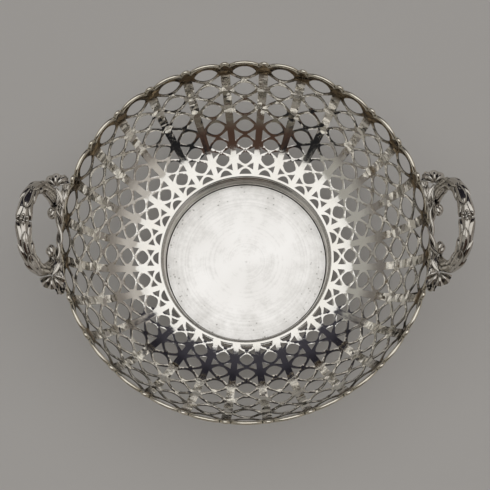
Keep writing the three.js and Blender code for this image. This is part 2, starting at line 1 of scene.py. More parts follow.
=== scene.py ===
"""Looks of a two-handled pierced silver bowl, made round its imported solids.

Lengths are in millimetres while a piece is shaped and turn to metres when it is finished. +Z is up
and the handles lie on +X and -X, as in the solids.
"""

import logging
from dataclasses import dataclass
from enum import Enum
from math import asin, atan2, cos, exp, hypot, pi, radians, sin, tan, tau
from typing import Callable, Iterable, Sequence

import bmesh
import bpy
from mathutils import Matrix, Vector


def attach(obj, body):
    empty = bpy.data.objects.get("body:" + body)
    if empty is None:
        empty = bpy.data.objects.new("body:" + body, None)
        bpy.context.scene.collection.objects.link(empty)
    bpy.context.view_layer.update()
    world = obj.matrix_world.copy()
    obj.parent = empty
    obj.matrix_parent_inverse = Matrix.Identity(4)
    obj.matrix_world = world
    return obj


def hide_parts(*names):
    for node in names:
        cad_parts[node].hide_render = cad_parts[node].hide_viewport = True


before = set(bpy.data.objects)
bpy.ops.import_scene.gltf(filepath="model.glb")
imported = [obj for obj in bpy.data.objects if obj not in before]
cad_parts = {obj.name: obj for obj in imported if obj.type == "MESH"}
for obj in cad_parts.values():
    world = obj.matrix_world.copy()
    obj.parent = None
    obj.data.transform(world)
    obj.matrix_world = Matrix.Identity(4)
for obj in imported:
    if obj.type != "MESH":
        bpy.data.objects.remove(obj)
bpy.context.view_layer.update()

logging.basicConfig(level=logging.INFO, format="%(message)s")
LOG = logging.getLogger("bowl")

MM = 0.001
WELD = 1e-4
Z_AXIS = Vector((0, 0, 1))

Node = bpy.types.Node
Socket = bpy.types.NodeSocket
Tree = bpy.types.NodeTree
Shape = bmesh.types.BMesh


def linear(colour: str) -> tuple[float, float, float, float]:
    """Turns an sRGB hex colour to linear light.

    Args:
        colour: Six hex digits with a leading hash.

    Returns:
        Red, green, blue and an alpha of one.
    """
    channels = [int(colour[start : start + 2], 16) / 255 for start in (1, 3, 5)]
    light = [c / 12.92 if c <= 0.04045 else ((c + 0.055) / 1.055) ** 2.4 for c in channels]
    return (*light, 1.0)


def add(tree: Tree, kind: str, inputs: dict | Sequence = (), **settings) -> Node:
    """Adds one node with its settings, values and links.

    Args:
        tree: The node tree that gets the node.
        kind: The node's type name, without its prefix.
        inputs: The values by input name, or in the order of the inputs that the settings leave in
            use. A node stands for its first output in use, and a text for an sRGB hex colour.
        **settings: Properties of the node.

    Returns:
        The new node.
    """
    made = tree.nodes.new(f"ShaderNode{kind}")
    for name, value in settings.items():
        setattr(made, name, value)
    if isinstance(inputs, dict):
        pairs = [(made.inputs[name], value) for name, value in inputs.items()]
    else:
        pairs = zip([socket for socket in made.inputs if socket.enabled], inputs)
    for socket, value in pairs:
        if isinstance(value, Node):
            value = next(output for output in value.outputs if output.enabled)
        if isinstance(value, Socket):
            tree.links.new(value, socket)
        else:
            socket.default_value = linear(value) if isinstance(value, str) else value
    return made


def shares(steps: int) -> list[float]:
    """Returns even steps from 0 to 1, both included."""
    return [step / steps for step in range(steps + 1)]


def weld(shape: Shape, distance: float = WELD) -> None:
    """Joins points that lie together, and turns the faces outwards."""
    bmesh.ops.remove_doubles(shape, verts=shape.verts, dist=distance)
    bmesh.ops.recalc_face_normals(shape, faces=shape.faces)


def empty_tree(owner: bpy.types.Material | bpy.types.World) -> Tree:
    """Returns the node tree of a material or world, with nothing in it."""
    owner.use_nodes = True
    owner.node_tree.nodes.clear()
    return owner.node_tree


def mesh_of(name: str, shape: Shape) -> bpy.types.Mesh:
    """Returns a mesh with a shape's faces; the shape is used up."""
    mesh = bpy.data.meshes.new(name)
    shape.to_mesh(mesh)
    shape.free()
    return mesh


def placed(name: str, data: bpy.types.ID) -> bpy.types.Object:
    """Returns a new object in the scene."""
    made = bpy.data.objects.new(name, data)
    bpy.context.scene.collection.objects.link(made)
    return made


class Side(Enum):
    """The side of the bowl that a handle is on, as its turn from +X."""

    RIGHT = 0.0
    LEFT = pi


class Hand(Enum):
    """The end of a handle, as the sign of its place across."""

    FRONT = -1
    BACK = 1


@dataclass
class Skin:
    """A material while it is made: its tree, its coordinates and what its shader gets so far."""

    tree: Tree
    place: Socket
    colour: Node
    gloss: Node
    normal: Node | None = None
    crease: Node | float = 1.0


@dataclass(frozen=True)
class Raising:
    """What raising and sawing leave on a sheet that is bent round a circle of centres.

    Between two heights the sheet turns from smooth to creased, and further up its inner face is
    painted darker under the rim, a painted reflection of the darker wall and floor that it faces.
    Its cut edges are painted dark brown as painted shade.
    """

    curve_radius_mm: float
    curve_height_mm: float
    # dark brown painted on the cut edges: painted shade
    sawn_edge_shade: str
    # colour painted on the inner face under the rim: a painted reflection
    under_rim: str
    rounded_share: float
    patch_mm: float
    patch_slope: float
    sawn_roughness: float = 0.4
    sawn_facing: tuple[float, float] = (0.3, 0.6)
    creased_mm: tuple[float, float] = (29.0, 40.0)
    least_crease: float = 0.04
    dark_mm: tuple[float, float] = (57.0, 64.0)

    def dress(self, skin: Skin) -> None:
        """Paints shade on the cut edges and a dark reflection on the inside under the rim, and
        evens out the normal.

        Args:
            skin: The material so far, which is changed.
        """
        tree, place = skin.tree, skin.place
        level = add(tree, "VectorMath", (place, (1, 1, 0)), operation="MULTIPLY")
        spoke = add(tree, "VectorMath", (level,), operation="NORMALIZE")
        reach = add(tree, "VectorMath", (spoke, self.curve_radius_mm * MM), operation="SCALE")
        lift = (0, 0, self.curve_height_mm * MM)
        centre = add(tree, "VectorMath", (reach, lift), operation="ADD")
        away = add(tree, "VectorMath", (place, centre), operation="SUBTRACT")
        square = add(tree, "VectorMath", (away,), operation="NORMALIZE")
        normals = add(tree, "NewGeometry").outputs
        # 1 on the outer face, -1 on the inner face and 0 on a sawn edge
        facing = add(tree, "VectorMath", (square, normals["True Normal"]), operation="DOT_PRODUCT")
        height = add(tree, "SeparateXYZ", (place,)).outputs["Z"]
        creased, dark = ([end * MM for end in span] for span in (self.creased_mm, self.dark_mm))
        skin.crease = add(tree, "MapRange", (height, *creased, self.least_crease))
        # how far up the inner face the painted dark reflection under the rim reaches
        high = add(tree, "MapRange", (height, *dark), interpolation_type="SMOOTHSTEP")
        inner = add(tree, "Math", (facing, 0.0), operation="LESS_THAN")
        shaded = add(tree, "Math", (high, inner), operation="MULTIPLY")
        flatness = add(tree, "Math", (facing,), operation="ABSOLUTE")
        cut = add(tree, "MapRange", (flatness, *self.sawn_facing, 1.0, 0.0))
        # paints the dark reflection under the rim and the shade on the cut edges into the colour
        for share, tint in ((shaded, self.under_rim), (cut, self.sawn_edge_shade)):
            skin.colour = add(tree, "Mix", (share, skin.colour, tint), data_type="RGBA")
        skin.gloss = add(tree, "Mix", (cut, skin.gloss, self.sawn_roughness))
        side = add(tree, "Math", (facing,), operation="SIGN")
        even = add(tree, "VectorMath", (square, side), operation="SCALE")
        rounded = add(tree, "Math", (cut, self.rounded_share), operation="MAXIMUM")
        skin.normal = add(tree, "Mix", (rounded, even, normals["Normal"]), data_type="VECTOR")

    def patches(self, tree: Tree, place: Node) -> Node:
        """Draws small flat patches, as thin sheet shows where it was worked most.

        Args:
            tree: The material's node tree.
            place: The coordinates that the patches lie in.

        Returns:
            Their height, with each patch tilted its own way.
        """
        cells = add(tree, "TexVoronoi", (place, 1 / (self.patch_mm * MM))).outputs
        off = add(tree, "VectorMath", (place, cells["Position"]), operation="SUBTRACT")
        tilt = add(tree, "VectorMath", (cells["Color"], (0.5, 0.5, 0.5)), operation="SUBTRACT")
        return add(tree, "VectorMath", (off, tilt), operation="DOT_PRODUCT")


@dataclass(frozen=True)
class Wear:
    """Blotches, pits and turned rings of tarnish on a round plate, most of them near its edge.

    A cloud pattern, the rings and the nearness of the edge add up to the share of the stain colour,
    and past a limit a place is pitted too. The nearness of the edge darkens the plate towards the
    collar as painted shade as well as stain. Rings and pits are drawn coarser than the real ones,
    so that they show.
    """

    blotch_and_edge_shade: str
    pit: str
    blotch_mm: float
    edge_radius_mm: float
    clear_share: float = 0.6
    edge_gain: float = 0.26
    cloud_detail: float = 8.0
    cloud_roughness: float = 0.75
    ring_mm: float = 1.6
    ring_gain: float = 0.06
    ring_contrast: tuple[float, float] = (0.3, 0.7)
    blotch_contrast: tuple[float, float] = (0.5, 0.9)
    blotch_share: float = 0.8
    pits_per_blotch: float = 4.0
    pit_edge: tuple[float, float] = (0.26, 0.1)
    pit_share: float = 0.9
    pitted_from: float = 0.7

    def lay(self, skin: Skin) -> None:
        """Lays the tarnish over the colour.

        Args:
            skin: The material so far, which is changed.
        """
        tree, place = skin.tree, skin.place
        level = add(tree, "VectorMath", (place, (1, 1, 0)), operation="MULTIPLY")
        reach = add(tree, "VectorMath", (level,), operation="LENGTH")
        # darker towards the edge: stain together with painted shade next to the collar
        span = (self.clear_share * self.edge_radius_mm * MM, self.edge_radius_mm * MM)
        edge = add(tree, "MapRange", (reach, *span, 0.0, self.edge_gain))
        scale = 1 / (self.blotch_mm * MM)
        cloud = add(tree, "TexNoise", (place, scale, self.cloud_detail, self.cloud_roughness))
        rings = add(tree, "TexNoise", (reach, 1 / (self.ring_mm * MM), 2.0), noise_dimensions="1D")
        ring = (rings, *self.ring_contrast, -self.ring_gain, self.ring_gain)
        local = add(tree, "Math", (add(tree, "MapRange", ring), edge), operation="ADD")
        whole = add(tree, "Math", (cloud, local), operation="ADD")
        stain_and_edge_shade = add(tree, "MapRange", (whole, *self.blotch_contrast, 0.0, self.blotch_share))
        cells = add(tree, "TexVoronoi", (place, self.pits_per_blotch / (self.blotch_mm * MM)))
        pit = add(tree, "MapRange", (cells, *self.pit_edge, 0.0, self.pit_share))
        kept = add(tree, "Math", (whole, self.pitted_from), operation="GREATER_THAN")
        pitted = add(tree, "Math", (pit, kept), operation="MULTIPLY")
        for share, tint in ((stain_and_edge_shade, self.blotch_and_edge_shade), (pitted, self.pit)):
            skin.colour = add(tree, "Mix", (share, skin.colour, tint), data_type="RGBA")


@dataclass(frozen=True)
class Silver:
    """Sterling silver with one surface treatment.

    A bright, slightly warm metal. Its gloss comes from the treatment. Its hollows are darkened
    by ambient occlusion, which stands both for the thin tarnish that polishing leaves there and for
    painted shade that falls in them. Hairlines are drawn about ten times as wide as they are, so
    that they show.
    """

    name: str
    slot: str
    bright: str
    worn: str
    roughness: float
    ripple_mm: float
    ripple_height_mm: float
    roughness_spread: float = 0.03
    tone_size: float = 2.5
    scratch_mm: float = 0.5
    scratch_height_mm: float = 0.004
    scratch_turn: float = 0.6
    scratch_length: float = 14.0
    wrinkle_mm: float = 2.6
    wrinkle_height_mm: float = 0.02
    crease_stretch: float = 1.0
    # colour painted into hollows by ambient occlusion: tarnish together with painted shade
    hollow_oxide_and_shade: str = ""
    recess_reach_mm: float = 1.0
    recess_openness: tuple[float, float] = (0.45, 0.92)
    raising: Raising | None = None
    wear: Wear | None = None

    def material(self) -> bpy.types.Material:
        """Returns the material, which is made once."""
        found = bpy.data.materials.get(self.name)
        if found:
            return found
        made = bpy.data.materials.new(self.name)
        tree = empty_tree(made)
        place = add(tree, "TexCoord").outputs["Object"]
        tone = add(tree, "TexNoise", (place, 1 / (self.tone_size * self.ripple_mm * MM), 3.0))
        colour = add(tree, "Mix", (tone, self.bright, self.worn), data_type="RGBA")
        # hollows darkened by ambient occlusion: tarnish and painted shade
        if self.hollow_oxide_and_shade:
            reach = {"Distance": self.recess_reach_mm * MM}
            hollow = add(tree, "AmbientOcclusion", reach, samples=8).outputs["AO"]
            openness = add(tree, "MapRange", (hollow, *self.recess_openness))
            colour = add(tree, "Mix", (openness, self.hollow_oxide_and_shade, colour), data_type="RGBA")
        spread = (self.roughness - self.roughness_spread, self.roughness + self.roughness_spread)
        skin = Skin(tree, place, colour, add(tree, "MapRange", (tone, 0.0, 1.0, *spread)))
        if self.wear:
            self.wear.lay(skin)
        if self.raising:
            self.raising.dress(skin)
        for height, distance, strength in self.bumps(skin):
            bump = {"Height": height, "Distance": distance, "Strength": strength}
            if skin.normal is not None:
                bump["Normal"] = skin.normal
            skin.normal = add(tree, "Bump", bump)
        look = {"Base Color": skin.colour, "Roughness": skin.gloss, "Normal": skin.normal}
        shader = add(tree, "BsdfPrincipled", look | {"Metallic": 1.0})
        add(tree, "OutputMaterial", {"Surface": shader})
        return made

    def bumps(self, skin: Skin) -> list[tuple[Node, float, Node | float]]:
        """Draws the ripples, wrinkles, patches and hairlines of the surface.

        Args:
            skin: The material so far.

        Returns:
            The height, depth in metres and strength of each pattern, from the lowest up.
        """
        tree, place = skin.tree, skin.place
        ripple = add(tree, "TexNoise", (place, 1 / (self.ripple_mm * MM), 2.0))
        stretch = {"Scale": (1.0, 1.0, self.crease_stretch)}
        creased = add(tree, "Mapping", {"Vector": place} | stretch)
        wrinkle = add(tree, "TexNoise", (creased, 1 / (self.wrinkle_mm * MM), 1.0))
        turn = {"Rotation": (0.0, 0.0, self.scratch_turn), "Scale": (1.0, self.scratch_length, 1.0)}
        along = add(tree, "Mapping", {"Vector": place} | turn)
        scale = 1 / (self.scratch_length * self.scratch_mm * MM)
        scratch = add(tree, "TexNoise", (along, scale, 4.0))
        found = [
            (ripple, self.ripple_height_mm * MM, 1.0),
            (wrinkle, self.wrinkle_height_mm * MM, skin.crease),
            (scratch, self.scratch_height_mm * MM, 1.0),
        ]
        if self.raising:
            patches = self.raising.patches(tree, creased)
            found.insert(2, (patches, self.raising.patch_slope, skin.crease))
        return found


# Rolled sheet, pierced with a saw and polished on a buff: mirror bright, a little wavy between the
# cuts and crumpled into small facets higher up; the saw cuts are duller and painted dark brown as
# painted shade, and the inner face under the rim is painted darker as a painted reflection
PIERCED_SHEET = Silver(
    name="polished_pierced_sheet",
    slot="polished_sheet",
    bright="#f6f4ef",
    worn="#e0dbd0",
    roughness=0.075,
    ripple_mm=7.0,
    ripple_height_mm=0.1,
    wrinkle_mm=9.0,
    wrinkle_height_mm=0.3,
    crease_stretch=2.0,
    raising=Raising(
        curve_radius_mm=44.45,
        curve_height_mm=81.76,
        # painted shade on the cut edges
        sawn_edge_shade="#4d4840",
        # painted reflection on the inner face under the rim
        under_rim="#776853",
        rounded_share=0.4,
        patch_mm=4.5,
        patch_slope=0.32,
    ),
)

# Drawn wire, bent and soldered: bright, with a warmer tone where fingers rub it, and painted shade
# in the hollows where it lies against the sheet and the leaves
RIM_WIRE_FINISH = Silver(
    name="polished_rim_wire",
    slot="rim_wire_silver",
    bright="#f0ebdf",
    worn="#c4bba6",
    roughness=0.1,
    ripple_mm=4.0,
    ripple_height_mm=0.12,
    # painted shade where the wire meets the sheet
    hollow_oxide_and_shade="#1f1a12",
    recess_reach_mm=1.8,
)

# Flat sheet worn by years of washing: a satin white with soft blotches, faint turned rings and a
# few pits, and painted shade darkening it towards the collar
SATIN_PLATE = Silver(
    name="satin_worn_plate",
    slot="satin_plate",
    bright="#fcfaf7",
    worn="#efece7",
    roughness=0.38,
    roughness_spread=0.08,
    ripple_mm=16.0,
    ripple_height_mm=0.08,
    scratch_height_mm=0.014,
    wear=Wear(blotch_and_edge_shade="#c6c3bd", pit="#8f8b84", blotch_mm=11.0, edge_radius_mm=53.7),
)

# Moulded strip, polished only in passing: greyer than the sheet, dark between its reeds with
# tarnish and painted shade
COLLAR_FINISH = Silver(
    name="moulded_collar_strip",
    slot="collar_silver",
    bright="#ebe9e4",
    worn="#cbc8c1",
    roughness=0.2,
    roughness_spread=0.06,
    ripple_mm=9.0,
    ripple_height_mm=0.05,
    scratch_height_mm=0.006,
    # tarnish and painted shade between the reeds
    hollow_oxide_and_shade="#2b2822",
)

# Castings with dark oxide left in the hollows and the high parts burnished; the darkening of the
# hollows also paints the shade between overlapping leaves and round the berries
CAST_LEAVES = Silver(
    name="cast_oxidised_leaves",
    slot="cast_silver",
    bright="#e6e1d9",
    worn="#9c958a",
    roughness=0.12,
    roughness_spread=0.04,
    ripple_mm=3.0,
    ripple_height_mm=0.2,
    scratch_mm=0.4,
    scratch_height_mm=0.006,
    # dark oxide in the hollows, also painted shade between leaves and berries
    hollow_oxide_and_shade="#15120e",
    recess_reach_mm=2.2,
)

# The same castings where the flutes are burnished brighter, with oxide and painted shade in the
# hollows between them
CAST_SHELL = Silver(
    name="cast_burnished_shell",
    slot="shell_silver",
    bright="#f3efe8",
    worn="#b8b1a6",
    roughness=0.1,
    ripple_mm=4.0,
    ripple_height_mm=0.05,
    scratch_mm=0.4,
    # dark oxide with painted shade in the hollows
    hollow_oxide_and_shade="#15120e",
    recess_reach_mm=1.8,
)


@dataclass
class Modifiers:
    """The live modifiers of a finished piece, in millimetres; a size of 0 leaves one out."""

    thickness: float = 0.0
    bevel: float = 0.0
    bevel_segments: int = 2
    bevel_angle: float = radians(40)
    flat_faces: bool = True

    def put_on(self, made: bpy.types.Object) -> None:
        """Adds the modifiers to an object.

        Args:
            made: The object, whose mesh is in metres.
        """
        if self.thickness:
            wall = made.modifiers.new("thickness", "SOLIDIFY")
            wall.thickness = self.thickness * MM
            wall.offset = 0.0
            wall.use_even_offset = True
        if self.bevel:
            edge = made.modifiers.new("edges", "BEVEL")
            edge.width = self.bevel * MM
            edge.segments = self.bevel_segments
            edge.limit_method = "ANGLE"
            edge.angle_limit = self.bevel_angle
            edge.harden_normals = self.flat_faces


def finish_piece(
    name: str,
    shape: Shape,
    silver: Silver,
    stands_for: Sequence[str],
    modifiers: Modifiers | None = None,
    crease: float = radians(38),
) -> bpy.types.Object:
    """Turns a shape in millimetres to a dressed piece on the bowl's body.

    Args:
        name: Name of the piece.
        shape: The shape, which is used up.
        silver: Its finish.
        stands_for: The solids that it takes the place of.
        modifiers: Its live modifiers, if any.
        crease: Angle past which an edge stays sharp.

    Returns:
        The piece.
    """
    bmesh.ops.scale(shape, vec=(MM, MM, MM), verts=shape.verts)
    mesh = mesh_of(name, shape)
    mesh.shade_smooth()
    mesh.set_sharp_from_angle(angle=crease)
    mesh.materials.append(silver.material())
    made = placed(name, mesh)
    if modifiers:
        modifiers.put_on(made)
    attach(made, "root")
    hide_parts(*stands_for)
    LOG.info("%s: %d faces before modifiers", name, len(mesh.polygons))
    return made


def outline(
    shape: Shape, points: Iterable[Vector], closed: bool = True
) -> list[bmesh.types.BMEdge]:
    """Draws a line of edges through points.

    Args:
        shape: The shape that gets the line.
        points: The points in order.
        closed: Whether the last point joins the first.

    Returns:
        The new edges.
    """
    corners = [shape.verts.new(point) for point in points]
    ends = corners[1:] + corners[:1] if closed else corners[1:]
    return [shape.edges.new(pair) for pair in zip(corners, ends)]


def turned(profile: Sequence[tuple[float, float]], steps: int, closed: bool = True) -> Shape:
    """Spins an outline of radius and height pairs round the Z axis.

    Args:
        profile: The outline.
        steps: Steps of a whole turn.
        closed: Whether the outline closes on itself; if not, it starts and ends on the axis.

    Returns:
        The turned shape.
    """
    shape = bmesh.new()
    outline(shape, [Vector((radius, 0, height)) for radius, height in profile], closed)
    bmesh.ops.spin(
        shape,
        geom=shape.verts[:] + shape.edges[:],
        cent=(0, 0, 0),
        axis=Z_AXIS,
        angle=tau,
        steps=steps,
        use_merge=True,
    )
    weld(shape)
    return shape


def stem(
    points: Sequence[Vector], radii: Sequence[float], sides: int = 10, closed: bool = False
) -> Shape:
    """Makes a round stem along a line, with a radius at each point.

    Args:
        points: The line.
        radii: The radius at each point.
        sides: Faces round the stem, an even number.
        closed: Whether the line closes on itself.

    Returns:
        The stem as a shape.
    """
    curve = bpy.data.curves.new("stem", "CURVE")
    curve.dimensions = "3D"
    curve.bevel_depth = 1.0
    curve.bevel_resolution = sides // 2 - 2
    curve.use_fill_caps = not closed
    spline = curve.splines.new("POLY")
    spline.points.add(len(points) - 1)
    for target, point, radius in zip(spline.points, points, radii):
        target.co = (*point, 1.0)
        target.radius = radius
    spline.use_cyclic_u = closed
    holder = bpy.data.objects.new("stem", curve)
    mesh = bpy.data.meshes.new_from_object(holder)
    shape = bmesh.new()
    shape.from_mesh(mesh)
    bpy.data.objects.remove(holder)
    bpy.data.curves.remove(curve)
    bpy.data.meshes.remove(mesh)
    weld(shape)
    return shape


def merged(shapes: Iterable[Shape]) -> Shape:
    """Puts several shapes into one.

    Args:
        shapes: The shapes, which are used up.

    Returns:
        The one shape.
    """
    whole = bmesh.new()
    for shape in shapes:
        mesh = mesh_of("part", shape)
        whole.from_mesh(mesh)
        bpy.data.meshes.remove(mesh)
    return whole


def bent_grid(columns: int, rows: int, place: Callable[[float, float], Vector]) -> Shape:
    """Makes a grid and moves its points to a surface.

    Args:
        columns: Faces across.
        rows: Faces along.
        place: Gives the point for a share across from -1 to 1 and a share along from 0 to 1.

    Returns:
        The bent grid.
    """
    shape = bmesh.new()
    bmesh.ops.create_grid(shape, x_segments=columns, y_segments=rows, size=1.0)
    for vert in shape.verts:
        vert.co = place(vert.co.x, (vert.co.y + 1) / 2)
    return shape


def closed_sheet(shape: Shape, thickness: float, outwards: Vector) -> Shape:
    """Gives an open sheet a thickness behind it.

    Args:
        shape: The sheet.
        thickness: Its thickness.
        outwards: The direction that the sheet faces on the whole.

    Returns:
        The same shape, closed.
    """
    weld(shape, 10 * WELD)
    facing = sum((face.normal * face.calc_area() for face in shape.faces), Vector())
    back = facing.normalized() * (-thickness if facing.dot(outwards) > 0 else thickness)
    drawn = bmesh.ops.extrude_face_region(shape, geom=shape.faces[:], use_keep_orig=True)
    behind = [part for part in drawn["geom"] if isinstance(part, bmesh.types.BMVert)]
    bmesh.ops.translate(shape, vec=back, verts=behind)
    bmesh.ops.recalc_face_normals(shape, faces=shape.faces)
    return shape


@dataclass(frozen=True)
class OvalRow:
    """One row of ovals: its middle, half height, how full its curve is, and the band round it."""

    middle: float
    rise: float
    fullness: float
    ring_band: float

    def profile(self, share: float) -> float:
        """Returns the height of the upper edge over the middle, for a share of the half width."""
        return self.rise * (1 - abs(share) ** self.fullness)


# The rows from the half ovals at the base up to the rim, fitted to the centres in the photo
OVAL_ROWS = (
    OvalRow(1.5, 3.7, 2.2, 1.6),
    OvalRow(12.3, 4.0, 1.9, 1.6),
    OvalRow(22.8, 3.7, 2.05, 1.5),
    OvalRow(34.75, 4.2, 2.13, 1.5),
    OvalRow(48.15, 4.7, 2.21, 1.5),
    OvalRow(63.0, 5.2, 2.29, 1.5),
    OvalRow(79.3, 5.7, 2.37, 1.5),
)


@dataclass
class PiercedWall:
    """The raised sheet: 28 bays of ovals between bars, in six rows that grow outwards.

    Places across a bay run from -0.5 to 0.5, and places up the sheet are arc lengths. The sheet
    is cut into strips and columns before it is bent, so that it bends evenly.
    """

    rows: tuple[OvalRow, ...] = OVAL_ROWS
    bays: int = 28
    thickness: float = 0.6
    edge_softness: float = 0.15
    inner_radius: float = 57.0
    inner_height: float = 13.4
    arc_radius: float = 69.5
    start_slope: float = radians(10.4)
    half_bar: float = 0.122
    oval_half_width: float = 0.322
    oval_steps: int = 12
    shoulder: float = 0.55
    triangle_apex: float = 0.06
    triangle_hollow: float = 0.05
    triangle_bar_steps: int = 4
    triangle_ring_steps: int = 5
    valley: float = 5.6
    crown: float = 9.8
    crown_fullness: float = 0.6
    arch_steps: int = 18
    knuckle: float = 9.5
    knuckle_fullness: float = 0.8
    knuckle_places: tuple[float, ...] = (-0.5, -0.475, -0.45, -0.425, -0.4)
    wire_radius: float = 1.2
    flat_pitch: float = 20.0
    edge_strip: float = 0.3
    strip: float = 5.0
    columns: tuple[float, ...] = (-0.375, -0.19, 0, 0.19, 0.375)
    bay_weld: float = 5e-3

    def slope(self, along: float) -> float:
        """Returns the wall's slope at an arc length from its inner edge."""
        return self.start_slope + along / self.arc_radius

    def radius(self, along: float, out: float = 0.0) -> float:
        """Returns the radius at an arc length from the inner edge and a distance out of it."""
        centre = self.inner_radius - self.arc_radius * sin(self.start_slope)
        return centre + (self.arc_radius + out) * sin(self.slope(along))

    def point(self, bay: float, along: float, out: float = 0.0) -> Vector:
        """Gives a point of the wall.

        Args:
            bay: Place across, in bays.
            along: Arc length from the inner edge.
            out: Distance out of the middle of the sheet.

        Returns:
            The point.
        """
        radius = self.radius(along, out)
        centre = self.inner_height + self.arc_radius * cos(self.start_slope)
        height = centre - (self.arc_radius + out) * cos(self.slope(along))
        angle = bay * tau / self.bays
        return Vector((radius * cos(angle), radius * sin(angle), height))

    def pitch(self, along: float) -> float:
        """Returns the width of a bay at an arc length from the inner edge."""
        return self.radius(along) * tau / self.bays

    def flat(self, across: float, along: float) -> Vector:
        """Returns a point of the flat pattern, which is bent later."""
        return Vector((across * self.flat_pitch, along, 0))

    def oval(self, row: OvalRow) -> list[Vector]:
        """Returns the outline of an oval: two round arcs that meet in blunt points."""
        points = []
        for side in (1, -1):
            for step in range(self.oval_steps):
                share = -1 + 2 * (step + 0.5) / self.oval_steps
                across = side * share * self.oval_half_width
                points.append(self.flat(across, row.middle + side * row.profile(share)))
        return points

    def triangle_reach(self, row: OvalRow, middle: float) -> float:
        """Gives how far a triangle runs along its bar towards one row.

        Its slanting side passes the shoulder of the oval at the width of the ring band.

        Args:
            row: The row of ovals.
            middle: Arc length of the triangle's point.

        Returns:
            The length along the bar.
        """
        point = self.triangle_apex * self.pitch(middle)
        across = self.oval_half_width * self.shoulder * self.pitch(row.middle) - point
        away = abs(row.middle - middle) - row.profile(self.shoulder)
        slant = atan2(away, across) - asin(row.ring_band / hypot(across, away))
        return ((0.5 - self.half_bar) * self.pitch(middle) - point) * tan(slant)

    def triangle(self, below: OvalRow, above: OvalRow, side: int) -> list[Vector]:
        """Returns the outline of the opening between a bar and two rings.

        Args:
            below: The row below.
            above: The row above.
            side: Which bar, -1 or 1.

        Returns:
            The outline, straight along the bar and hollow along the rings.
        """
        middle = (below.middle + below.rise + above.middle - above.rise) / 2
        low = self.triangle_reach(below, middle)
        high = self.triangle_reach(above, middle)
        bar = 0.5 - self.half_bar
        points = []
        for share in shares(self.triangle_bar_steps)[:-1]:
            points.append(self.flat(side * bar, middle - low + (low + high) * share))
        ring = shares(self.triangle_ring_steps)
        for reach, way in ((high, ring[:-1]), (-low, ring[:0:-1])):
            for share in way:
                hollow = self.triangle_hollow * sin(pi * share)
                across = bar + (self.triangle_apex - bar) * share
                points.append(self.flat(side * across, middle + reach * (1 - share - hollow)))
        return points

    def half_oval(self) -> list[Vector]:
        """Returns the outline of the half oval at the base."""
        row, half = self.rows[0], self.oval_half_width
        places = [2 * share - 1 for share in shares(self.oval_steps)]
        return [self.flat(place * half, row.middle + row.profile(place)) for place in places]

    def scallop(self, across: float) -> float:
        """Returns the scalloped line's height over the top row's middle, at a place in a bay."""
        bar = 0.5 - self.half_bar
        if abs(across) <= bar:
            arch = (1 - (across / bar) ** 2) ** self.crown_fullness
            return self.valley + (self.crown - self.valley) * arch
        off = (0.5 - abs(across)) / self.half_bar
        bump = (1 - off**2) ** self.knuckle_fullness
        return self.valley + (self.knuckle - self.valley) * bump

    def scallop_line(self) -> list[float]:
        """Returns the places across one bay at which the scalloped line is drawn, ends included."""
        bar = 0.5 - self.half_bar
        arch = [-bar * cos(pi * share) for share in shares(self.arch_steps)]
        return [*self.knuckle_places, *arch, *(-place for place in reversed(self.knuckle_places))]

    def bay_shape(self) -> Shape:
        """Returns one flat bay with its openings cut out."""
        rows = self.rows
        shape = bmesh.new()
        # The sheet ends inside the rim wire, half the wire's radius under its line
        edge = rows[-1].middle - self.wire_radius * 0.5
        top = [self.flat(place, edge + self.scallop(place)) for place in self.scallop_line()]
        foot = [self.flat(0.5, 0), self.flat(-0.5, 0)]
        edges = outline(shape, top + foot)
        edges += outline(shape, self.half_oval())
        for row in rows[1:]:
            edges += outline(shape, self.oval(row))
        for below, above in zip(rows, rows[1:]):
            for side in (-1, 1):
                edges += outline(shape, self.triangle(below, above, side))
        bmesh.ops.triangle_fill(shape, use_beauty=True, edges=edges)
        self.cut(shape, self.flat(0, self.edge_strip), Vector((0, 1, 0)))
        height = self.strip
        while height < rows[-1].middle + self.crown:
            self.cut(shape, self.flat(0, height), Vector((0, 1, 0)))
            height += self.strip
        for across in self.columns:
            self.cut(shape, self.flat(across, 0), Vector((1, 0, 0)))
        return shape

    @staticmethod
    def cut(shape: Shape, place: Vector, square: Vector) -> None:
        """Cuts a flat shape along a line, and keeps both sides."""
        geometry = shape.verts[:] + shape.edges[:] + shape.faces[:]
        bmesh.ops.bisect_plane(shape, geom=geometry, dist=WELD, plane_co=place, plane_no=square)

    def build(self) -> bpy.types.Object:
        """Returns the finished sheet."""
        shape = self.bay_shape()
        for vert in shape.verts:
            vert.co = self.point(vert.co.x / self.flat_pitch, vert.co.y)
        bmesh.ops.spin(
            shape,
            geom=shape.verts[:] + shape.edges[:] + shape.faces[:],
            cent=(0, 0, 0),
            axis=Z_AXIS,
            angle=tau * (self.bays - 1) / self.bays,
            steps=self.bays - 1,
            use_duplicate=True,
        )
        weld(shape, self.bay_weld)
        edges = Modifiers(self.thickness, self.edge_softness, bevel_segments=1, flat_faces=False)
        return finish_piece("pierced_sheet", shape, PIERCED_SHEET, ["pierced_wall"], edges)


@dataclass
class RimWire:
    """The round wire along the scalloped edge."""

    wall: PiercedWall
    crease: float = radians(60)

    def build(self) -> bpy.types.Object:
        """Returns the finished wire."""
        top = self.wall.rows[-1].middle
        points = []
        for bay in range(self.wall.bays):
            for place in self.wall.scallop_line()[:-1]:
                points.append(self.wall.point(bay + place, top + self.wall.scallop(place)))
        shape = stem(points, [self.wall.wire_radius] * len(points), closed=True)
        node = ["rim_wire"]
        return finish_piece("scalloped_wire", shape, RIM_WIRE_FINISH, node, crease=self.crease)


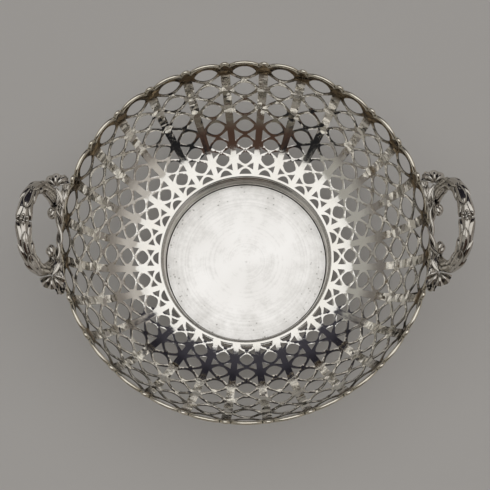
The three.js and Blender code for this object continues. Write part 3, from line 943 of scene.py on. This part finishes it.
# Section of the collar as radius and height: from the ledge out and up to the lip under the sheet,
# then down the reeds of the bore
COLLAR_SECTION = (
    (52.4, 0.3), (55.9, 0.3), (55.9, 2.4), (55.4, 4.6), (55.4, 8.2), (56.4, 10.6), (57.1, 11.7),
    (58.1, 11.7), (58.1, 12.6), (56.7, 12.6), (56.3, 12.1), (56.6, 11.7), (55.9, 11.4),
    (55.5, 10.9), (55.75, 10.45), (55.15, 10.1), (54.8, 8.7), (54.55, 7.5), (54.9, 7.1),
    (54.5, 6.7), (54.4, 5.9), (54.85, 5.5), (54.4, 5.1), (54.2, 3.6), (54.0, 2.2), (54.0, 1.3),
    (52.4, 1.3),
)

# Section of the foot wire: flat below and against the collar, rounded outside
FOOT_SECTION = (
    (56.2, 0), (58.5, 0), (59.0, 0.4), (59.0, 1.2), (58.7, 1.8), (58.1, 2.25), (57.4, 2.4),
    (56.2, 2.4),
)


@dataclass
class Base:
    """The sunk centre: plain plate, moulded collar and the ring that it stands on."""

    steps: int = 168
    plate_radius: float = 53.7
    plate_bottom: float = 1.6
    plate_top: float = 2.6
    plate_rings: tuple[float, ...] = (44.0, 30.0, 14.0)
    mark_section: tuple[tuple[float, float], ...] = ((1.2, 0), (0.8, 0), (0.5, 0.12), (0, 0.2))

    def plate(self) -> bpy.types.Object:
        """Returns the plain plate, with the compass mark in its centre."""
        profile = [(0, self.plate_bottom), (self.plate_radius, self.plate_bottom)]
        profile += [(radius, self.plate_top) for radius in (self.plate_radius, *self.plate_rings)]
        profile += [(radius, self.plate_top - depth) for radius, depth in self.mark_section]
        shape = turned(profile, self.steps, closed=False)
        edges = Modifiers(bevel=0.15)
        return finish_piece("plain_centre_plate", shape, SATIN_PLATE, ["base_plate"], edges)

    def build(self) -> None:
        """Builds the plate, and the collar and the foot wire round it."""
        self.plate()
        for name, section, node, bevel in (
            ("moulded_collar", COLLAR_SECTION, "collar", 0.08),
            ("foot_wire", FOOT_SECTION, "foot_ring", 0.1),
        ):
            shape = turned(section, self.steps)
            finish_piece(name, shape, COLLAR_FINISH, [node], Modifiers(bevel=bevel))


@dataclass(frozen=True)
class Leaf:
    """A cast leaf: grid, outline, ribbed and crowned section, and thickness.

    The outline is a half wave that starts at a share of its length, so that the root is cut off.
    """

    grid: tuple[int, int]
    root_share: float
    rib: float
    rib_width: float
    thickness: float
    fullness: float = 0.7
    tip: float = 0.999

    def taper(self, along: float) -> float:
        """Returns the share of the greatest width at a share of the length."""
        wave = min(self.tip, self.root_share + (1 - self.root_share) * along)
        return sin(pi * wave) ** self.fullness

    def furrow(self, across: float) -> float:
        """Returns the depth of the middle rib's furrow at a share of the half width."""
        return self.rib * exp(-((across / self.rib_width) ** 2))


@dataclass
class Handle:
    """One cast handle: a laurel bow, its rail, berries, two shells, two buds and two leaf sprays.

    It is made on +X. Its line is an oval in a leaning plane, and angles on the oval start at +Y.
    Points with a place along Y are for the back end, and mirrored for the front. A berry has a
    place across, a turn round the line and a radius. A pair of spray leaves has the stem point
    that it starts at, its number of points and its half width.
    """

    side: Side
    lean: float = radians(66.4)
    centre_radius: float = 120.3
    centre_height: float = 95.48
    half_span: float = 25.0
    half_rise: float = 18.6
    bow_end: float = radians(-30)
    bow_steps: int = 64
    core_middle: float = 3.2
    core_end: float = 2.2
    bow_leaf_form: Leaf = Leaf((12, 10), root_share=0.2, rib=0.4, rib_width=0.14, thickness=0.9)
    leaves: int = 4
    leaf_columns: int = 4
    leaf_span: tuple[float, float] = (0.06, 0.93)
    leaf_length: float = 13.5
    leaf_half_width: float = 3.3
    leaf_lift: float = 1.2
    leaf_droop: float = 0.6
    leaf_droop_from: float = 0.8
    leaf_crown: float = 0.8
    leaf_crown_fullness: float = 0.6
    leaf_seat: float = 0.05
    leaf_curl: float = 1.2
    leaf_rib_fade: float = 0.4
    leaf_wrap: float = 0.6
    rail_steps: int = 72
    rail_twists: float = 5.0
    rail_orbit: float = 1.1
    rail_radius: float = 0.9
    rail_swell: float = 0.2
    berry_lift: float = 2.3
    berry_places: tuple[tuple[float, float, float], ...] = (
        (0.0, -0.35, 1.15), (1.9, -0.58, 1.05), (1.1, 0.02, 1.0), (1.0, -0.98, 1.0),
    )
    shell_hinge: tuple[float, float, float] = (114.3, 27.3, 88.6)
    shell_half_width: float = 7.6
    shell_length: float = 8.6
    shell_dome: float = 3.4
    shell_groove: float = 1.5
    shell_thickness: float = 0.8
    shell_grid: tuple[int, int] = (56, 10)
    shell_flutes: int = 4
    shell_flute_fullness: float = 1.2
    shell_root: float = 0.1
    shell_scallop: float = 0.05
    shell_side_reach: float = 0.2
    shell_fall: float = 0.6
    shell_dome_span: tuple[float, float] = (0.15, 0.75)
    shell_groove_span: float = 0.8
    bud_root: float = radians(-48)
    bud_place: tuple[float, float] = (11.6, -9.6)
    bud_radius: float = 3.0
    bud_stretch: float = 1.3
    bud_fold: float = 0.34
    bud_twist: float = 1.6
    bud_grid: tuple[int, int] = (40, 20)
    bud_folds: float = 1.5
    bud_fold_fullness: float = 0.7
    stalk_steps: int = 12
    stalk_radii: tuple[float, float] = (1.9, 1.5)
    stalk_bulge: float = 1.1
    spray_leaf_form: Leaf = Leaf((8, 8), root_share=0.1, rib=0.35, rib_width=0.2, thickness=0.8)
    spray_start: float = 7.0
    spray_length: float = 27.0
    spray_lift: float = 1.4
    spray_top: tuple[float, float, float] = (112.0, 31.8, 87.0)
    spray_bulge: float = 3.6
    spray_stem: float = 0.95
    rim_steps: int = 12
    rise_steps: int = 8
    spray_drift: float = 1.2
    spray_leaves: tuple[tuple[int, int, float], ...] = (
        (0, 6, 1.8), (3, 5, 1.7), (6, 5, 1.8), (9, 4, 1.6), (13, 5, 1.6), (16, 5, 1.5),
    )
    mantle_line: tuple[tuple[float, float, float], ...] = (
        (114.6, 27.0, 88.6), (113.4, 23.5, 87.8), (112.4, 20.0, 86.7), (111.8, 16.5, 85.2),
    )
    spray_leaf_seat: float = 0.7
    spray_leaf_lift: float = 0.9
    spray_leaf_crown: float = 0.45
    spray_leaf_bend: float = 2.2
    mantle_half_width: float = 1.7
    mantle_drift: float = 1.6

    def ring(self, across: float, up: float, out: float = 0.0) -> Vector:
        """Gives a point of the leaning plane of the handle.

        Args:
            across: Place along Y.
            up: Place up the slope.
            out: Distance out of the plane.

        Returns:
            The point.
        """
        along_x = self.centre_radius + up * cos(self.lean) + out * sin(self.lean)
        along_z = self.centre_height + up * sin(self.lean) - out * cos(self.lean)
        return Vector((along_x, across, along_z))

    def around(self, angle: float, turn: float, radius: float) -> Vector:
        """Gives a point round the handle's line.

        Args:
            angle: Angle of the place on the oval.
            turn: Angle round the line; 0 is away from the oval's centre.
            radius: Distance from the line.

        Returns:
            The point.
        """
        spoke = Vector((self.half_rise * cos(angle), self.half_span * sin(angle)))
        away = spoke.normalized()
        spread = radius * cos(turn)
        return self.ring(
            self.half_span * cos(angle) + away.x * spread,
            self.half_rise * sin(angle) + away.y * spread,
            radius * sin(turn),
        )

    def core_radius(self, angle: float) -> float:
        """Returns the radius of the stem under the leaves at a place on the oval."""
        share = (sin(angle) - sin(self.bow_end)) / (1 - sin(self.bow_end))
        return self.core_end + (self.core_middle - self.core_end) * max(0.0, share)

    def bow_leaf(self, tip: float, turn: float, half: int) -> Shape:
        """Makes one laurel leaf that lies on the bow, its tip towards the berries.

        Args:
            tip: Angle of the tip on the oval.
            turn: Place round the stem.
            half: 1 on the back half of the bow, -1 on the front half.

        Returns:
            The leaf, closed.
        """
        speed = hypot(self.half_span * sin(tip), self.half_rise * cos(tip))
        length = self.leaf_length / speed
        form = self.bow_leaf_form

        def place(across: float, along: float) -> Vector:
            angle = tip - half * length * (1 - along)
            core = self.core_radius(tip)
            width = self.leaf_half_width * core / self.core_middle * form.taper(along)
            past = max(0.0, along - self.leaf_droop_from)
            lift = self.leaf_seat + self.leaf_lift * along**self.leaf_curl
            lift -= self.leaf_droop * past / (1 - self.leaf_droop_from)
            bulge = max(0.0, cos(across * pi / 2)) ** self.leaf_crown_fullness
            furrow = form.furrow(across) * (1 - self.leaf_rib_fade * along)
            radius = core + lift + self.leaf_crown * bulge - furrow
            return self.around(angle, turn + across * width / (core + self.leaf_wrap), radius)

        centre = self.around(tip - half * length / 2, 0, 0)
        outwards = self.around(tip - half * length / 2, turn, 6) - centre
        return closed_sheet(bent_grid(*form.grid, place), form.thickness, outwards)

    def bow(self) -> Shape:
        """Returns the stem of the bow with its overlapping leaves."""
        whole = pi - 2 * self.bow_end
        angles = [self.bow_end + whole * share for share in shares(self.bow_steps)]
        line = [self.around(angle, 0, 0) for angle in angles]
        parts = [stem(line, [self.core_radius(angle) for angle in angles], sides=12)]
        span = pi / 2 - self.bow_end
        first, rest = self.leaf_span
        for half in (-1, 1):
            for column in range(self.leaf_columns):
                turn = tau * (column + 0.5) / self.leaf_columns
                for leaf in range(self.leaves):
                    share = (leaf + 1 - (0.5 if column % 2 else 0.0)) / self.leaves
                    at = self.bow_end + span * (first + rest * share)
                    parts.append(self.bow_leaf(at if half == 1 else pi - at, turn, half))
        return merged(parts)

    def rail(self) -> Shape:
        """Returns the two stems that close the oval along the rim, twisted round each other."""
        start = pi - self.bow_end
        end = tau + self.bow_end
        strands = []
        for strand in range(2):
            line, radii = [], []
            for share in shares(self.rail_steps):
                turn = pi * (strand + self.rail_twists * share)
                line.append(self.around(start + (end - start) * share, turn, self.rail_orbit))
                radii.append(self.rail_radius + self.rail_swell * sin(pi * share))
            strands.append(stem(line, radii, sides=12))
        return merged(strands)

    def berries(self) -> Shape:
        """Returns the cluster of berries on the crest of the bow."""
        shape = bmesh.new()
        lift = self.core_middle + self.berry_lift
        for across, turn, size in self.berry_places:
            for sign in ((1, -1) if across else (1,)):
                angle = pi / 2 - sign * across / self.half_span
                matrix = Matrix.Translation(self.around(angle, turn, lift))
                bmesh.ops.create_icosphere(shape, subdivisions=3, radius=size, matrix=matrix)
        return shape

    def shell(self, hand: Hand) -> Shape:
        """Makes the fluted shell at one end of the bow.

        Args:
            hand: The end.

        Returns:
            The shell, closed. Its dome and flutes are low at the hinge, where they meet.
        """
        hinge = Vector(self.shell_hinge)
        least, start = self.shell_side_reach, self.shell_root
        dome_start, dome_span = self.shell_dome_span

        def place(across: float, along: float) -> Vector:
            turn = (across * 0.5 + 0.5) * pi
            flute = abs(cos(turn * self.shell_flutes)) ** self.shell_flute_fullness
            reach = start + (1 - start) * along
            edge = 1 - self.shell_scallop * (1 - flute) * along
            wide = cos(turn) * self.shell_half_width * reach * edge
            away = (least + (1 - least) * sin(turn)) * self.shell_length * reach * edge
            fall = 1 - self.shell_fall * along * (1 - sin(turn))
            rise = self.shell_dome * sin(pi * (dome_start + dome_span * along)) * fall
            depth = self.shell_groove * (1 - flute)
            groove = depth * sin(pi * self.shell_groove_span * along)
            across_y = hand.value * (hinge.y + away)
            return Vector((hinge.x - wide, across_y, hinge.z + rise - groove))

        return closed_sheet(bent_grid(*self.shell_grid, place), self.shell_thickness, Z_AXIS)

    def bud(self, hand: Hand) -> Shape:
        """Makes the bud that curls into the opening, with its stalk.

        Args:
            hand: The end.

        Returns:
            The bud and its stalk.
        """
        across = self.half_span * cos(self.bud_root)
        root = Vector((across, self.half_rise * sin(self.bud_root)))
        ball = Vector(self.bud_place)
        thick, thin = self.stalk_radii
        line, radii = [], []
        for share in shares(self.stalk_steps):
            place = root.lerp(ball, share)
            bulge = self.stalk_bulge * sin(pi * share)
            line.append(self.ring(hand.value * place.x, place.y, bulge))
            radii.append(thick + (thin - thick) * share)
        stalk = stem(line, radii)
        head = bmesh.new()
        about, up = self.bud_grid
        bmesh.ops.create_uvsphere(head, u_segments=about, v_segments=up, radius=self.bud_radius)
        for vert in head.verts:
            petal = atan2(vert.co.y, vert.co.x)
            height = vert.co.z / self.bud_radius
            wave = cos(petal * self.bud_folds + self.bud_twist * height * hand.value)
            fold = abs(wave) ** self.bud_fold_fullness
            vert.co *= 1 - self.bud_fold * (1 - fold) * (1 - height**4)
            vert.co.z *= self.bud_stretch
        turn = Z_AXIS.rotation_difference(self.ring(1, 0) - self.ring(0, 0)).to_matrix()
        place = Matrix.Translation(self.ring(hand.value * ball.x, ball.y))
        bmesh.ops.transform(head, matrix=place @ turn.to_4x4(), verts=head.verts)
        return merged([stalk, head])

    def spray(self, wall: PiercedWall, hand: Hand) -> Shape:
        """Makes the leaves that lie on the rim wire and curl up to the shell.

        Args:
            wall: The wall whose rim they lie on.
            hand: The end of the handle.

        Returns:
            The stem, its leaves in pairs, and the pair that runs from the shell to the rail.
        """
        top = wall.rows[-1].middle + wall.crown + wall.wire_radius
        seat = wall.point(0, top, 1.0)
        route = []
        for share in shares(self.rim_steps):
            across = self.spray_start + self.spray_length * share
            along_x = seat.x * cos(asin(across / seat.x))
            route.append(Vector((along_x, hand.value * across, seat.z + self.spray_lift)))
        low = route[-1]
        top_x, top_y, top_z = self.spray_top
        high = Vector((top_x, hand.value * top_y, top_z))
        for share in shares(self.rise_steps)[1:]:
            bulge = Vector((0, hand.value * self.spray_bulge * sin(pi * share), 0))
            route.append(low.lerp(high, share) + bulge)
        parts = [stem(route, [self.spray_stem] * len(route), sides=8)]
        for start, count, width in self.spray_leaves:
            for drift in (-self.spray_drift, self.spray_drift):
                stretch = route[start : start + count]
                parts.append(self.spray_leaf(stretch, width, drift, hand))
        mantle = [Vector((x, hand.value * y, z)) for x, y, z in self.mantle_line]
        # This line runs the other way along Y, so the other hand turns the leaf's face up
        other = Hand(-hand.value)
        for drift in (-self.mantle_drift, self.mantle_drift):
            parts.append(self.spray_leaf(mantle, self.mantle_half_width, drift, other))
        return merged(parts)

    def spray_leaf(
        self, line: Sequence[Vector], half_width: float, drift: float, hand: Hand
    ) -> Shape:
        """Makes one ridged leaf along a stretch of the spray's stem.

        Args:
            line: Points of the stem under the leaf.
            half_width: Half of its greatest width.
            drift: How far its tip stands off the stem to one side.
            hand: The end of the handle that the line runs to.

        Returns:
            The leaf, closed.
        """
        form = self.spray_leaf_form

        def place(across: float, along: float) -> Vector:
            spot = along * (len(line) - 1)
            index = min(int(spot), len(line) - 2)
            centre = line[index].lerp(line[index + 1], spot - index)
            travel = (line[index + 1] - line[index]).normalized()
            out = Vector((centre.x, centre.y, 0)).normalized()
            up = (travel.cross(out) * -hand.value).normalized()
            side = travel.cross(up).normalized()
            width = half_width * form.taper(along)
            crown = self.spray_leaf_crown * cos(across * self.spray_leaf_bend)
            lift = self.spray_leaf_seat + self.spray_leaf_lift * along + crown
            lift -= form.furrow(across)
            return centre + side * (across * width + drift * along) + up * lift

        return closed_sheet(bent_grid(*form.grid, place), form.thickness, Z_AXIS)

    def dress(self, name: str, shape: Shape, silver: Silver, node: str) -> bpy.types.Object:
        """Turns a shape made on +X to this handle's side and finishes it.

        Args:
            name: Name of the piece, without its side.
            shape: The shape.
            silver: Its finish.
            node: The solid that it takes the place of, without its side.

        Returns:
            The piece.
        """
        turn = Matrix.Rotation(self.side.value, 4, "Z")
        bmesh.ops.transform(shape, matrix=turn, verts=shape.verts)
        label = self.side.name.lower()
        return finish_piece(f"{label}_{name}", shape, silver, [f"{label}_{node}"])

    def build(self, wall: PiercedWall) -> None:
        """Builds every piece of the handle.

        Args:
            wall: The wall that the handle is soldered to.
        """
        self.dress("laurel_bow", self.bow(), CAST_LEAVES, "bow")
        self.dress("twisted_rail", self.rail(), CAST_LEAVES, "rail")
        self.dress("berry_cluster", self.berries(), CAST_LEAVES, "berries")
        facing = 1 if self.side is Side.RIGHT else -1
        for hand in Hand:
            end = Hand(hand.value * facing).name.lower()
            self.dress(f"fluted_shell_{end}", self.shell(hand), CAST_SHELL, f"shell_{end}")
            self.dress(f"curled_bud_{end}", self.bud(hand), CAST_LEAVES, f"bud_{end}")
            self.dress(f"leaf_spray_{end}", self.spray(wall, hand), CAST_LEAVES, f"spray_{end}")


@dataclass
class Studio:
    """Pale floor, soft overhead light and the camera.

    The light is a white cloth overhead with a middle and half sizes, as shares of its height. The
    walls have a lower and an upper colour between two heights of the direction.
    """

    focal_length: float = 77.98
    sensor_width: float = 36.0
    aim_height: float = 64.0
    turns: tuple[float, float, float] = (-13.68, -0.437, 0.384)
    shift: tuple[float, float, float] = (0.33, 3.491, -659.067)
    floor_colour: str = "#c7c4c0"
    floor_roughness: float = 0.85
    floor_size: float = 30.0
    floor_drop: float = 0.0001
    cap_middle: tuple[float, float] = (0.065, 0.11)
    cap_half: tuple[float, float] = (0.84, 0.73)
    cap_colour: str = "#ffffff"
    cap_edge_colour: str = "#ededed"
    cap_squareness: float = 4.0
    wall_heights: tuple[float, float] = (0.3, 0.62)
    left_colours: tuple[str, str] = ("#736f6c", "#a3a29e")
    right_colours: tuple[str, str] = ("#837e7a", "#bab6b2")
    far_colours: tuple[str, str] = ("#25242b", "#3c3b43")
    near_colours: tuple[str, str] = ("#1d1d1f", "#1f1f21")
    warm_colours: tuple[str, str] = ("#646058", "#48372f")
    warm_slant: float = 0.47
    backdrop_colour: str = "#c9c7c3"
    strength: float = 1.06

    def camera(self) -> None:
        """Puts the camera where the photograph was taken from."""
        turn = Matrix.Identity(3)
        for degrees, axis in zip(self.turns, "XYZ"):
            turn = turn @ Matrix.Rotation(radians(degrees), 3, axis)
        back = turn.transposed()
        place = Vector((0, 0, self.aim_height)) - back @ Vector(self.shift)
        lens = bpy.data.cameras.new("camera")
        lens.lens = self.focal_length
        lens.sensor_width = self.sensor_width
        camera = placed("camera", lens)
        camera.matrix_world = Matrix.Translation(place * MM) @ back.to_4x4()
        bpy.context.scene.camera = camera

    def floor(self) -> None:
        """Lays the plain pale floor."""
        shape = bmesh.new()
        bmesh.ops.create_grid(shape, x_segments=1, y_segments=1, size=self.floor_size)
        mesh = mesh_of("floor", shape)
        mesh.transform(Matrix.Translation((0, 0, -self.floor_drop)))
        paper = bpy.data.materials.new("pale_matt_paper")
        tree = empty_tree(paper)
        look = {"Base Color": self.floor_colour, "Roughness": self.floor_roughness}
        add(tree, "OutputMaterial", {"Surface": add(tree, "BsdfPrincipled", look)})
        mesh.materials.append(paper)
        placed("floor", mesh)

    def sky(self) -> None:
        """Makes the studio: a white cloth overhead, pale walls beside, dark ones near and far."""
        world = bpy.data.worlds.new("studio")
        bpy.context.scene.world = world
        tree = empty_tree(world)
        direction = add(tree, "TexCoord").outputs["Generated"]
        parts = add(tree, "SeparateXYZ", (direction,))
        path = add(tree, "LightPath")
        found = {name.lower(): parts.outputs[name] for name in "XYZ"}
        rays = ("Camera", "Glossy", "Transmission")
        found |= {name: path.outputs[f"Is {name} Ray"] for name in rays}
        # Each row has a name, an operation and its two terms
        sums = [
            ("wide", "ABSOLUTE", "x", 0.0),
            ("deep", "ABSOLUTE", "y", 0.0),
            ("corner", "SUBTRACT", "wide", "deep"),
            ("slant", "MULTIPLY", "deep", self.warm_slant),
            ("beside", "SUBTRACT", "wide", "slant"),
            ("height", "MAXIMUM", "z", 0.001),
        ]
        for axis, middle, half in zip("xy", self.cap_middle, self.cap_half):
            sums += [
                (f"{axis}_run", "DIVIDE", axis, "height"),
                (f"{axis}_off", "SUBTRACT", f"{axis}_run", middle),
                (f"{axis}_share", "DIVIDE", f"{axis}_off", half),
                (f"{axis}_even", "ABSOLUTE", f"{axis}_share", 0.0),
                (f"{axis}_power", "POWER", f"{axis}_even", self.cap_squareness),
            ]
        sums += [
            ("reach", "ADD", "x_power", "y_power"),
            ("mirrored", "ADD", "Glossy", "Transmission"),
        ]
        for name, operation, first, second in sums:
            inputs = (found[first], found.get(second, second))
            found[name] = add(tree, "Math", inputs, operation=operation)
        # Each row has a name, what it follows, the values it turns between and its two colours
        blends = (
            ("left", "z", self.wall_heights, *self.left_colours),
            ("right", "z", self.wall_heights, *self.right_colours),
            ("sides", "x", (-0.3, 0.3), "left", "right"),
            ("outer", "z", self.wall_heights, *self.near_colours),
            ("middle", "z", self.wall_heights, *self.warm_colours),
            ("near", "beside", (0.04, -0.04), "outer", "middle"),
            ("far", "z", self.wall_heights, *self.far_colours),
            ("ends", "y", (-0.05, 0.05), "near", "far"),
            ("room", "corner", (0.05, -0.05), "sides", "ends"),
            ("cloth", "reach", (0.0, 1.0), self.cap_colour, self.cap_edge_colour),
            ("light", "reach", (1.15, 0.85), "room", "cloth"),
            ("low", "z", (0.12, 0.02), "light", self.backdrop_colour),
            ("gloss", "mirrored", (0.0, 1.0), "light", "low"),
            ("seen", "Camera", (0.0, 1.0), "gloss", self.backdrop_colour),
        )
        for name, measure, span, under, over in blends:
            ramp = (found[measure], *span)
            step = add(tree, "MapRange", ramp, interpolation_type="SMOOTHSTEP")
            inputs = (step, found.get(under, under), found.get(over, over))
            found[name] = add(tree, "Mix", inputs, data_type="RGBA")
        shader = add(tree, "Background", (found["seen"], self.strength))
        add(tree, "OutputWorld", {"Surface": shader})

    def build(self) -> None:
        """Builds the studio."""
        bpy.context.scene.view_settings.view_transform = "Standard"
        self.camera()
        self.floor()
        self.sky()


def main() -> None:
    """Builds the studio and the bowl in order."""
    Studio().build()
    wall = PiercedWall()
    wall.build()
    RimWire(wall).build()
    Base().build()
    for side in Side:
        Handle(side).build(wall)


if __name__ == "__main__":
    main()
